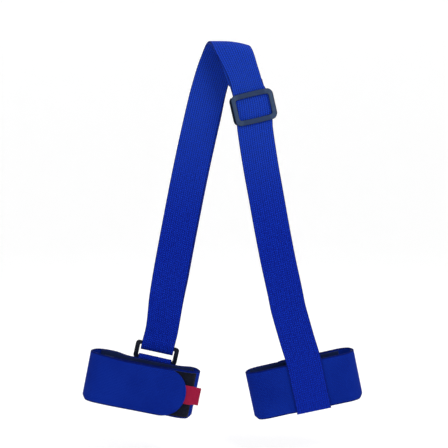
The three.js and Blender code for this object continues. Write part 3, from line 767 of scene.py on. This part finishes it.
def sliderSide(side, plateFront):
    # one rounded side of the moulding, cut from a whole frame
    width = slider["inside"] + 2 * slider["rail"]
    shape = mouldedFrame(width, slider["height"] - slider["sideShort"],
                         slider["rail"] + slider["sideInner"], slider["bar"],
                         slider["sideDepth"], slider["sideCorner"], slider["sideInnerCorner"],
                         slider["edge"])
    bmesh.ops.bisect_plane(shape, geom=everything(shape),
                           plane_co=(side * (width / 2 - slider["sideReach"]), 0, 0),
                           plane_no=(side, 0, 0), clear_inner=True, dist=0.0001)
    bmesh.ops.holes_fill(shape, edges=[e for e in shape.edges if e.is_boundary])
    bmesh.ops.recalc_face_normals(shape, faces=shape.faces)
    bmesh.ops.translate(shape, verts=shape.verts, vec=(0, plateFront + slider["sideBack"], 0))
    return shape


def sliderRail(side, railFront, barBack):
    # the rail narrows backwards, from the plate to the middle bar
    railX = (slider["inside"] + slider["rail"]) / 2
    rail = softBar((slider["rail"] - slider["railSetIn"], barBack - railFront,
                    slider["height"] - slider["railShort"]), (0, 0, 0), slider["railRounding"])
    for vert in rail.verts:
        vert.co.z *= 1 - slider["railTaper"] * smoothStep(*slider["taperSpan"], vert.co.y)
    bmesh.ops.translate(rail, verts=rail.verts, vec=(side * railX, (barBack + railFront) / 2, 0))
    return rail


def makeSlider():
    plateFront, barBack = sliderLow.y / mm, sliderHigh.y / mm
    plate = mouldedFrame(slider["plateWidth"], slider["height"], slider["plateSide"], slider["bar"],
                         slider["plate"], slider["corner"], slider["innerCorner"], slider["edge"],
                         slider["bow"])
    bmesh.ops.translate(plate, verts=plate.verts, vec=(slider["plateShift"], plateFront, 0))
    parts = [softBar((slider["inside"] + slider["centreBarOverlap"], slider["centreBarDepth"],
                      slider["centreBarHeight"]),
                     (0, barBack - slider["centreBarDepth"] / 2, 0), slider["centreBarRounding"])]
    parts += [sliderSide(side, plateFront) for side in (-1, 1)]
    parts += [sliderRail(side, plateFront + slider["plate"] / 2, barBack) for side in (-1, 1)]
    for part in [plate, *parts]:
        bmesh.ops.transform(part, matrix=sliderFrame, verts=part.verts)
    piece = finishPiece("sliderFrame", plate, sliderPlastic, 40)
    unionOf(piece, parts)
    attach(piece, "slider")
    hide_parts("slider")


makeSlider()


def pathPiece(path, width, frameMatrix, thickness, across=10, step=1.6, joinedEnds=(), lean=0.0,
              gather=1.0, edge=0.4):
    # cloth that follows a path drawn in Y and Z of a leaned frame, centred across X
    def place(sideways, along, level):
        at, out = path.at(along)
        at = at + out * level
        return frameMatrix @ Vector((sideways * gather - lean * at.y, at.x, at.y))

    cloth = flatCut(width, path.length, thickness, step=step, across=across,
                    joinedEnds=joinedEnds, edge=edge)
    return laid(cloth, place), place


frontLayer = -underRadius
barFront = frontLayer + half + webbing["gap"]
barMiddle = barFront + slider["centreBarDepth"] / 2
barTurn = barMiddle - frontLayer
turnZ = -(slider["centreBarHeight"] - slider["centreBarDepth"]) / 2
tail = frontLayer + webbing["thickness"] + webbing["gap"]
endPath = Path(
    line((frontLayer, slider["endLoopTop"]), (frontLayer, turnZ)),
    arc((barMiddle, turnZ), barTurn, barTurn, 180, 360),
    line((barMiddle + barTurn, turnZ), (barMiddle + barTurn, slider["endOpens"])),
    easing((barMiddle + barTurn, slider["endOpens"]), (tail, slider["endCloses"])),
    line((tail, slider["endCloses"]), (tail, slider["endLoopTail"])))
endCloth, endPlace = pathPiece(endPath, webbing["width"], sliderFrame, webbing["thickness"],
                               joinedEnds=(0,), lean=slider["endLean"],
                               gather=slider["gather"])
sliderEnd = finishPiece("sliderEnd", endCloth, webbingCloth)
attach(sliderEnd, "slider")
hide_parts("slider_end_loop")

# the under layer from the crown to the slider: one stretch bends at the crown, and the next
# grows as the slider goes down
endTop = endPlace(0, 0, 0)
underTop = strapPiece("rightUnderTop", seam, webbing["underSeam"], underRadius)
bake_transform(underTop)


def underRun():
    underEnd = webbing["underSeam"]
    reach = stationAt(endTop.z) - underEnd

    def place(across, along, level):
        share = along / reach
        station = underEnd + along
        onLeg = onStrap(across, station, underRadius + level, gathered(across, station, True))
        onEnd = endPlace(across, 0, 0) + Vector((0, -level, 0))
        return onLeg.lerp(onEnd, share ** 3)

    cloth = laid(flatCut(webbing["width"], reach, webbing["thickness"], step=1.5,
                         joinedEnds=(0, 1)), place, uvFrom=underEnd)
    piece = finishPiece("rightUnderRun", cloth, webbingCloth)
    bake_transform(piece)
    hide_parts("right_inner_run")


underRun()
print("slider made")


ring = {
    "height": 20.2, "width": 48.9, "sideBar": 5.0, "bar": 3.8, "corner": 3.6, "edge": 1.25,
    "innerCorner": 0.9, "clearance": 0.5,
    # the leg's loop: how it opens above the bar, hangs under it and draws in sideways
    "slack": 3.6, "loopTop": 19.5, "loopOpens": 2.9, "loopCloses": 12.0, "narrowing": 0.045,
    "narrowSpan": (285.0, 320.0),
    # the tab, below the lower bar
    "tabFront": 26.0, "tabBack": 28.0, "tabOpens": 1.9, "tabCloses": 14.0, "tabGather": 0.975,
}
ringTilt = tiltOf("ring_swing")
ringTop = jointPlace("ring_swing")
ringFrame = tiltedFrame(ringTop, ringTilt)
ringShape = mouldedFrame(ring["width"], ring["height"], ring["sideBar"], ring["bar"], ring["bar"],
                         ring["corner"], ring["innerCorner"], ring["edge"])
bmesh.ops.translate(ringShape, verts=ringShape.verts,
                    vec=(0, -ring["bar"] / 2, (ring["bar"] - ring["height"]) / 2))
bmesh.ops.transform(ringShape, matrix=ringFrame, verts=ringShape.verts)
ringPiece = finishPiece("ringFrame", ringShape, ringPlastic, 40)
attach(ringPiece, "ring")
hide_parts("ring")

turn = ring["bar"] / 2 + ring["clearance"] + half
layer = (webbing["thickness"] + webbing["gap"]) / 2


def leftLower():
    # one strip: down in front, round the ring's top bar, and up behind
    top = heightAt(webbing["leftSeam"])
    cosTilt = math.cos(ringTilt)
    barZ = ringTop.z
    openZ, closedZ = barZ + ring["loopOpens"] * cosTilt, barZ + ring["loopCloses"] * cosTilt
    bottom = barZ - ring["slack"] * cosTilt
    y = ringTop.y
    path = Path(
        line((y - layer, top), (y - layer, closedZ)),
        easing((y - layer, closedZ), (y - turn, openZ)),
        line((y - turn, openZ), (y - turn, bottom)),
        arc((y, bottom), turn, turn, 180, 360),
        line((y + turn, bottom), (y + turn, openZ)),
        easing((y + turn, openZ), (y + layer, closedZ)),
        line((y + layer, closedZ), (y + layer, top)))

    def place(across, along, level):
        at, out = path.at(along)
        at = at - out * level
        station = -stationAt(at.y)
        behind = smoothStep(y - layer, y + layer, at.x)
        narrow = 1 - ring["narrowing"] * smoothStep(*ring["narrowSpan"], -station)
        return onStrap(across * narrow, station, at.x, behind * layerShift(station))

    cloth = laid(flatCut(webbing["width"], path.length, webbing["thickness"], step=2.4,
                         joinedEnds=(0, 1)), place, uvFrom=-webbing["leftSeam"])
    piece = finishPiece("leftLegLower", cloth, webbingCloth)
    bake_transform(piece)
    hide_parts("left_outer_lower", "left_inner_lower", "ring_loop")


leftLower()

barZ = ring["bar"] - ring["height"]
back = -turn + webbing["thickness"] + webbing["gap"]
tabPath = Path(
    line((-turn, barZ - ring["tabFront"]), (-turn, barZ)),
    arc((0, barZ), turn, turn, 180, 0),
    line((turn, barZ), (turn, barZ - ring["tabOpens"])),
    easing((turn, barZ - ring["tabOpens"]), (back, barZ - ring["tabCloses"])),
    line((back, barZ - ring["tabCloses"]), (back, barZ - ring["tabBack"])))
tabCloth, tabPlace = pathPiece(tabPath, webbing["width"], ringFrame, webbing["thickness"],
                               gather=ring["tabGather"])
ringTab = finishPiece("ringTab", tabCloth, webbingCloth)
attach(ringTab, "left_cuff")
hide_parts("ring_tab")
print("ring made")


cuff = {
    "width": 122.0, "height": 54.0, "depth": 24.0, "wall": 1.5, "fold": 18.0, "gap": 0.3,
    "underlapShort": 9.0, "wrapTurn": 215.0,    # degrees of the last fold that are the band's
    "hangsFrom": {"left": "ringTab", "right": "rightLegLower"},
    # the loop patch
    "patch": 1.2, "patchInset": 8.0, "patchTurn": 55.0, "patchMargin": 2.0,
    # the linings
    "liner": 1.2, "linerMargin": 0.9, "linerTurn": {"left": 8.0, "right": 27.0},
    "linerStart": 12.0, "lapLinerStart": 1.5, "lapLinerTurn": -40.0,
    # the flap and its hook patch
    "flapReach": {"left": 7.2, "right": 0.0}, "tipShort": 0.5, "bendBefore": 7.0,
    "bendAfter": 9.0, "hookStart": 23.0, "hookInset": 13.0, "hookMargin": 6.0,
    # the pull tab and its seam
    "tabWidth": 20.5, "tabRise": 1.0, "tabInset": 10.0, "tabReach": 15.2, "tabLayer": 0.5,
    "seamFromTip": 7.0, "seamHalfHeight": 8.5, "seamHalfWidth": 1.5,
    "seamStitch": (2.1, 0.6, 0.5),
    # how it hangs
    "sag": {"left": 2.2, "right": 0.0}, "sagCentre": 9.0, "sagFlat": 26.0, "sagFade": 20.0,
    "frontSag": {"left": 1.6, "right": 0.0}, "frontSagSpan": (12.0, 52.0), "frontCentre": -4.0,
    "seatedRim": 27.0, "endSpan": 7.0, "lowerCorner": 3.6, "upperCorner": 0.7,
    "rimWave": 0.35, "waveAlong": 26.0, "waveDeep": 20.0,
}
foldX = cuff["width"] / 2 - cuff["fold"]
lapFace = -cuff["depth"]
loopFace = lapFace - cuff["gap"] - cuff["patch"]
hookBack = loopFace - cuff["gap"]
flapBack = hookBack - cuff["patch"] - cuff["gap"]
flapFace = flapBack - cuff["wall"]


def cuffFrame(side):
    # the flap's hinge gives the cuff's lean and place
    axis = joints[f"{side}_flap_peel"]["axis"]
    tilt = math.atan2(axis[0], -axis[2])
    turned = math.pi if side == "right" else 0.0
    root = Vector((-foldX + cuff["gap"] / 2, flapFace, 0))
    return (tiltedFrame(jointPlace(f"{side}_flap_peel"), tilt, turned)
            @ Matrix.Translation(-root))


def cuffShape(side, frameMatrix):
    # where a point of the flat-walled cuff goes: the strap side sags under its ring, the front
    # rim seats, the ends' corners draw in and the rims are a little uneven
    halfWidth, halfHeight = cuff["width"] / 2, cuff["height"] / 2

    def shaped(x, y, z):
        sideways = abs(x - cuff["sagCentre"])
        across = 1 - smoothStep(cuff["sagFlat"], cuff["sagFlat"] + cuff["sagFade"], sideways)
        sag = cuff["sag"][side] * across * smoothStep(lapFace + 4, -4, y)
        front = (smoothStep(lapFace + 8, lapFace, y)
                 * (1 - smoothStep(*cuff["frontSagSpan"], abs(x - cuff["frontCentre"]))))
        lowered = cuff["frontSag"][side] * front * smoothStep(0, cuff["seatedRim"], z)
        wave = cuff["rimWave"] * noise.noise(
            Vector((x / cuff["waveAlong"], y / cuff["waveDeep"], 0.3 * len(side))))
        end = smoothStep(halfWidth - cuff["endSpan"], halfWidth, abs(x)) ** 2
        z += end * (cuff["lowerCorner"] * smoothStep(0, -halfHeight, z)
                    - cuff["upperCorner"] * smoothStep(0, halfHeight, z))
        return frameMatrix @ Vector((x, y, z - sag - lowered + wave))
    return shaped


def foldPath():
    # the band: along the front, round one end, back along the strap side and part of the way
    # round the other end
    wall = cuff["wall"] / 2
    front, rear, flapLevel = lapFace + wall, -wall, flapFace + wall
    return Path(
        line((-foldX + cuff["underlapShort"], front), (foldX, front)),
        arc((foldX, (front + rear) / 2), cuff["fold"] - wall, (rear - front) / 2, -90, 90),
        line((foldX, rear), (-foldX, rear)),
        arc((-foldX, (flapLevel + rear) / 2), cuff["fold"] - wall, (rear - flapLevel) / 2,
            90, cuff["wrapTurn"]))


def uprightPiece(path, height, thickness, shaped, name, material, fromTo=None, offset=0.0,
                 joinedEnds=(), step=2.4, edge=0.4, across=10, tip=None):
    # cloth standing on edge along a path drawn in X and Y
    start, end = fromTo or (0.0, path.length)

    def place(up, along, level):
        at, out = path.at(start + along)
        at = at + out * (offset - level)
        return shaped(at.x, at.y, up)

    cloth = flatCut(height, end - start, thickness, step=step, across=across, edge=edge,
                    joinedEnds=joinedEnds, tip=tip)
    laid(cloth, place, uvFrom=start)
    return finishPiece(name, cloth, material), place


def stitchRow(shape, place, start, end, pitch, size, level):
    # one row of stitches between two points (across, along) of a laid cloth
    start, end = Vector(start), Vector(end)
    count = max(2, round((end - start).length / pitch))
    for i in range(count):
        middle = start.lerp(end, (i + 0.5) / count)
        ahead = start.lerp(end, (i + 0.9) / count)
        here = place(middle.x, middle.y, level)
        direction = (place(ahead.x, ahead.y, level) - here).normalized()
        outward = (place(middle.x, middle.y, level * 1.5) - here).normalized()
        side = direction.cross(outward).normalized()
        turned = Matrix((direction, side, outward)).transposed().to_4x4()
        made = bmesh.ops.create_uvsphere(shape, u_segments=6, v_segments=5, radius=0.5)["verts"]
        bmesh.ops.scale(shape, verts=made, vec=size)
        bmesh.ops.transform(shape, verts=made, matrix=Matrix.Translation(here) @ turned)


def stitchBox(place, corners, level, pitch=3.0, size=(2.5, 0.75, 0.7)):
    shape = bmesh.new()
    (x0, y0), (x1, y1) = corners
    rows = [(x0, y0), (x1, y0), (x1, y1), (x0, y1), (x0, y0)]
    for start, end in zip(rows, rows[1:]):
        stitchRow(shape, place, start, end, pitch, size, level)
    return shape


def stitches(name, shape, body, node):
    uv = shape.loops.layers.uv.new("flat")
    for face in shape.faces:
        for loop in face.loops:
            loop[uv].uv = (loop.vert.co.x, loop.vert.co.z)
    piece = finishPiece(name, shape, sewingThread, 80)
    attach(piece, body)
    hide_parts(node)


def makeCuff(side):
    body, flapBody = f"{side}_cuff", f"{side}_flap"
    shaped = cuffShape(side, cuffFrame(side))
    path = foldPath()
    height = cuff["height"]
    wall = cuff["wall"] / 2

    band, _ = uprightPiece(path, height, cuff["wall"], shaped, f"{side}CuffBand",
                           cuffCloth, joinedEnds=(1,))
    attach(band, body)
    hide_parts(f"{side}_cuff_band")

    lapLength = 2 * foldX - cuff["underlapShort"]
    foldLength = Path(arc((0, 0), cuff["fold"] - wall, (lapFace + 2 * wall) / 2, -90, 90)).length
    patchHeight = height - 2 * cuff["patchMargin"]
    patchEnd = lapLength + foldLength * cuff["patchTurn"] / 180
    patch, _ = uprightPiece(path, patchHeight, cuff["patch"], shaped, f"{side}LoopPatch",
                            loopFelt, fromTo=(cuff["patchInset"], patchEnd),
                            offset=wall + cuff["gap"] + cuff["patch"] / 2, edge=0.35)
    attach(patch, body)
    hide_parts(f"{side}_loop_patch")

    linerHeight = height - 2 * cuff["linerMargin"]
    inward = -(wall + cuff["gap"] + cuff["liner"] / 2)
    front = lapFace + wall
    lapLinerPath = Path(
        line((-foldX - cuff["lapLinerStart"], front), (foldX, front)),
        arc((foldX, (front - wall) / 2), cuff["fold"] - wall, -(front + wall) / 2,
            -90, cuff["lapLinerTurn"]))
    rearStart = lapLength + foldLength
    rearEnd = rearStart + 2 * foldX + cuff["linerTurn"][side]
    for name, node, linerPath, fromTo in (
            ("StrapLiner", "strap_liner", path, (rearStart - cuff["linerStart"], rearEnd)),
            ("LapLiner", "lap_liner", lapLinerPath, (0, lapLinerPath.length))):
        liner, _ = uprightPiece(linerPath, linerHeight, cuff["liner"], shaped, f"{side}{name}",
                                liningCloth, fromTo=fromTo, offset=inward, edge=0.3)
        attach(liner, body)
        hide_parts(f"{side}_{node}")

    # the flap goes on from the band's end, round the rest of the fold and out past where it peels
    # open
    flapLevel, rear = flapFace + wall, -wall
    flapTip = foldX + cuff["flapReach"][side]
    tip = height / 2 - cuff["tipShort"]
    flapPath = Path(
        arc((-foldX, (flapLevel + rear) / 2), cuff["fold"] - wall, (rear - flapLevel) / 2,
            cuff["wrapTurn"], 270),
        line((-foldX, flapLevel), (flapTip, flapLevel)))
    flap, flapPlace = uprightPiece(flapPath, height, cuff["wall"], shaped, f"{side}Flap", cuffCloth,
                                   joinedEnds=(0,), tip=tip, across=16)
    root = shaped(-foldX - cuff["bendBefore"], flapFace, 0)
    past = shaped(-foldX + cuff["bendAfter"], flapFace, 0)
    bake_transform(flap)
    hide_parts(f"{side}_flap")

    hookPath = Path(line((-foldX + cuff["gap"] + cuff["hookStart"], hookBack - cuff["patch"] / 2),
                         (flapTip - cuff["hookInset"], hookBack - cuff["patch"] / 2)))
    hookHeight = height - 2 * cuff["hookMargin"]
    hook, _ = uprightPiece(hookPath, hookHeight, cuff["patch"], shaped, f"{side}HookPatch",
                           hookFelt, edge=0.3)
    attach(hook, flapBody)
    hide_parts(f"{side}_hook_patch")

    makePullTab(side, shaped, flapTip, flapBody)
    seam = Vector((cuff["tabRise"], flapPath.length - cuff["seamFromTip"]))
    reach = Vector((cuff["seamHalfHeight"], cuff["seamHalfWidth"]))
    tabSeam = stitchBox(flapPlace, (seam - reach, seam + reach), wall + 0.1, pitch=2.6,
                        size=cuff["seamStitch"])
    stitches(f"{side}TabStitches", tabSeam, flapBody, f"{side}_pull_tab_seam")


def makePullTab(side, shaped, flapTip, body):
    turnRadius = (cuff["patch"] - cuff["tabLayer"]) / 2
    level = hookBack - cuff["patch"] / 2
    start = flapTip - cuff["tabInset"]
    bend = flapTip + cuff["tabReach"] - turnRadius - cuff["tabLayer"] / 2
    path = Path(line((start, level - turnRadius), (bend, level - turnRadius)),
                arc((bend, level), turnRadius, turnRadius, -90, 90),
                line((bend, level + turnRadius), (start, level + turnRadius)))

    def raised(x, y, z):
        return shaped(x, y, z + cuff["tabRise"])

    tab, _ = uprightPiece(path, cuff["tabWidth"], cuff["tabLayer"], raised, f"{side}PullTab",
                          ribbonCloth, edge=0.12, step=0.9, across=8)
    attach(tab, body)
    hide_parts(f"{side}_pull_tab")


for side in ("left", "right"):
    makeCuff(side)
print("cuffs made")


stitch = {
    "strapAcross": 17.0, "strapAbove": 8.0, "strapEnd": 4.0, "strapStitch": (2.2, 0.5, 0.4),
    "tabAcross": 16.0, "tabLong": 14.0, "endAcross": 15.5, "endLong": 9.0, "fromEnd": 2.5,
}


def strapPlace(across, along, level):
    return onStrap(across, along, overRadius + level)


def endBox(place, length, across, rowsLong):
    # a box of stitches near the end of a folded-back piece of webbing
    corners = (-across, length - rowsLong), (across, length - stitch["fromEnd"])
    return stitchBox(place, corners, half)


cuffTop = stationAt(flex) + stitch["strapAbove"]
strapBox = stitchBox(strapPlace, ((-stitch["strapAcross"], cuffTop),
                                  (stitch["strapAcross"], strapEnd - stitch["strapEnd"])),
                     half, size=stitch["strapStitch"])
stitches("strapStitches", strapBox, "right_cuff", "right_strap_seam")
stitches("ringTabStitches",
         endBox(tabPlace, tabPath.length, stitch["tabAcross"], stitch["tabLong"]),
         "left_cuff", "ring_tab_seam")
stitches("sliderEndStitches",
         endBox(endPlace, endPath.length, stitch["endAcross"], stitch["endLong"]),
         "slider", "slider_end_seam")
print("stitches sewn")


studio = {
    "target": (-4.34, 0, -192.63), "distance": 1100.0, "elevation": 6.0, "lens": 81.47,
    "floorDrop": 45.0, "floorRadius": 2600.0, "wallHeight": 2200.0, "sweep": 900.0,
    "world": 0.5, "glow": 0.32, "floorPaint": 0.8, "aim": (0.0, 0.0, -0.2),
    # place and size in metres, and power
    "lights": {"key": ((0.35, -0.5, 0.35), 0.4, 3.2), "fill": ((-1.3, -1.2, 0.6), 1.4, 2),
               "top": ((0, 0.3, 1.2), 0.9, 6)},
}


def makeCamera():
    data = bpy.data.cameras.new("camera")
    data.lens, data.sensor_width = studio["lens"], 36
    data.clip_start, data.clip_end = 0.05, 20
    camera = bpy.data.objects.new("camera", data)
    bpy.context.scene.collection.objects.link(camera)
    lift = math.radians(studio["elevation"])
    backwards = Vector((0, -math.cos(lift), math.sin(lift)))
    camera.location = (Vector(studio["target"]) + backwards * studio["distance"]) * mm
    camera.rotation_euler = (math.pi / 2 - lift, 0, 0)
    bpy.context.scene.camera = camera


def makeFloor():
    # a round floor that sweeps up into a wall, like a light tent
    shape = bmesh.new()
    floorZ = cadBox[0].z / mm - studio["floorDrop"]
    flat = studio["floorRadius"] - studio["sweep"]
    profile = [(0, 0), (flat, 0)]
    profile += [(flat + studio["sweep"] * math.sin(a), studio["sweep"] * (1 - math.cos(a)))
                for a in (math.radians(9 * i) for i in range(1, 11))]
    profile.append((studio["floorRadius"], studio["wallHeight"]))
    verts = [shape.verts.new((x, 0, z + floorZ)) for x, z in profile]
    edges = [shape.edges.new(pair) for pair in zip(verts, verts[1:])]
    bmesh.ops.spin(shape, geom=verts + edges, cent=(0, 0, 0), axis=(0, 0, 1), dvec=(0, 0, 0),
                   angle=2 * math.pi, steps=64, use_merge=True)
    bmesh.ops.remove_doubles(shape, verts=shape.verts, dist=0.01)
    bmesh.ops.recalc_face_normals(shape, faces=shape.faces)
    bmesh.ops.reverse_faces(shape, faces=shape.faces)
    bmesh.ops.scale(shape, verts=shape.verts, vec=(mm, mm, mm))
    mesh = bpy.data.meshes.new("floor")
    shape.to_mesh(mesh)
    shape.free()
    mesh.shade_smooth()
    floor = bpy.data.objects.new("floor", mesh)
    bpy.context.scene.collection.objects.link(floor)
    material, _, shader = newMaterial("pale floor")
    shader.inputs["Base Color"].default_value = (*[studio["floorPaint"]] * 3, 1)
    shader.inputs["Emission Color"].default_value = (1, 1, 1, 1)
    shader.inputs["Emission Strength"].default_value = studio["glow"]
    shader.inputs["Roughness"].default_value = 0.9
    shader.inputs["Specular IOR Level"].default_value = 0.1
    mesh.materials.append(material)


def makeLight(name, place, size, power):
    data = bpy.data.lights.new(name, "AREA")
    data.shape, data.size, data.energy = "DISK", size, power
    light = bpy.data.objects.new(name, data)
    light.location = place
    aim = Vector(studio["aim"]) - Vector(place)
    light.rotation_euler = aim.to_track_quat("-Z", "Y").to_euler()
    light.visible_camera = False
    bpy.context.scene.collection.objects.link(light)


makeCamera()
makeFloor()
for name, (place, size, power) in studio["lights"].items():
    makeLight(name, place, size, power)
world = bpy.data.worlds.new("studio")
world.use_nodes = True
world.node_tree.nodes["Background"].inputs[0].default_value = (1, 1, 1, 1)
world.node_tree.nodes["Background"].inputs[1].default_value = studio["world"]
bpy.context.scene.world = world
bpy.context.scene.view_settings.view_transform = "Standard"
print("studio lit")

bpy.context.view_layer.update()
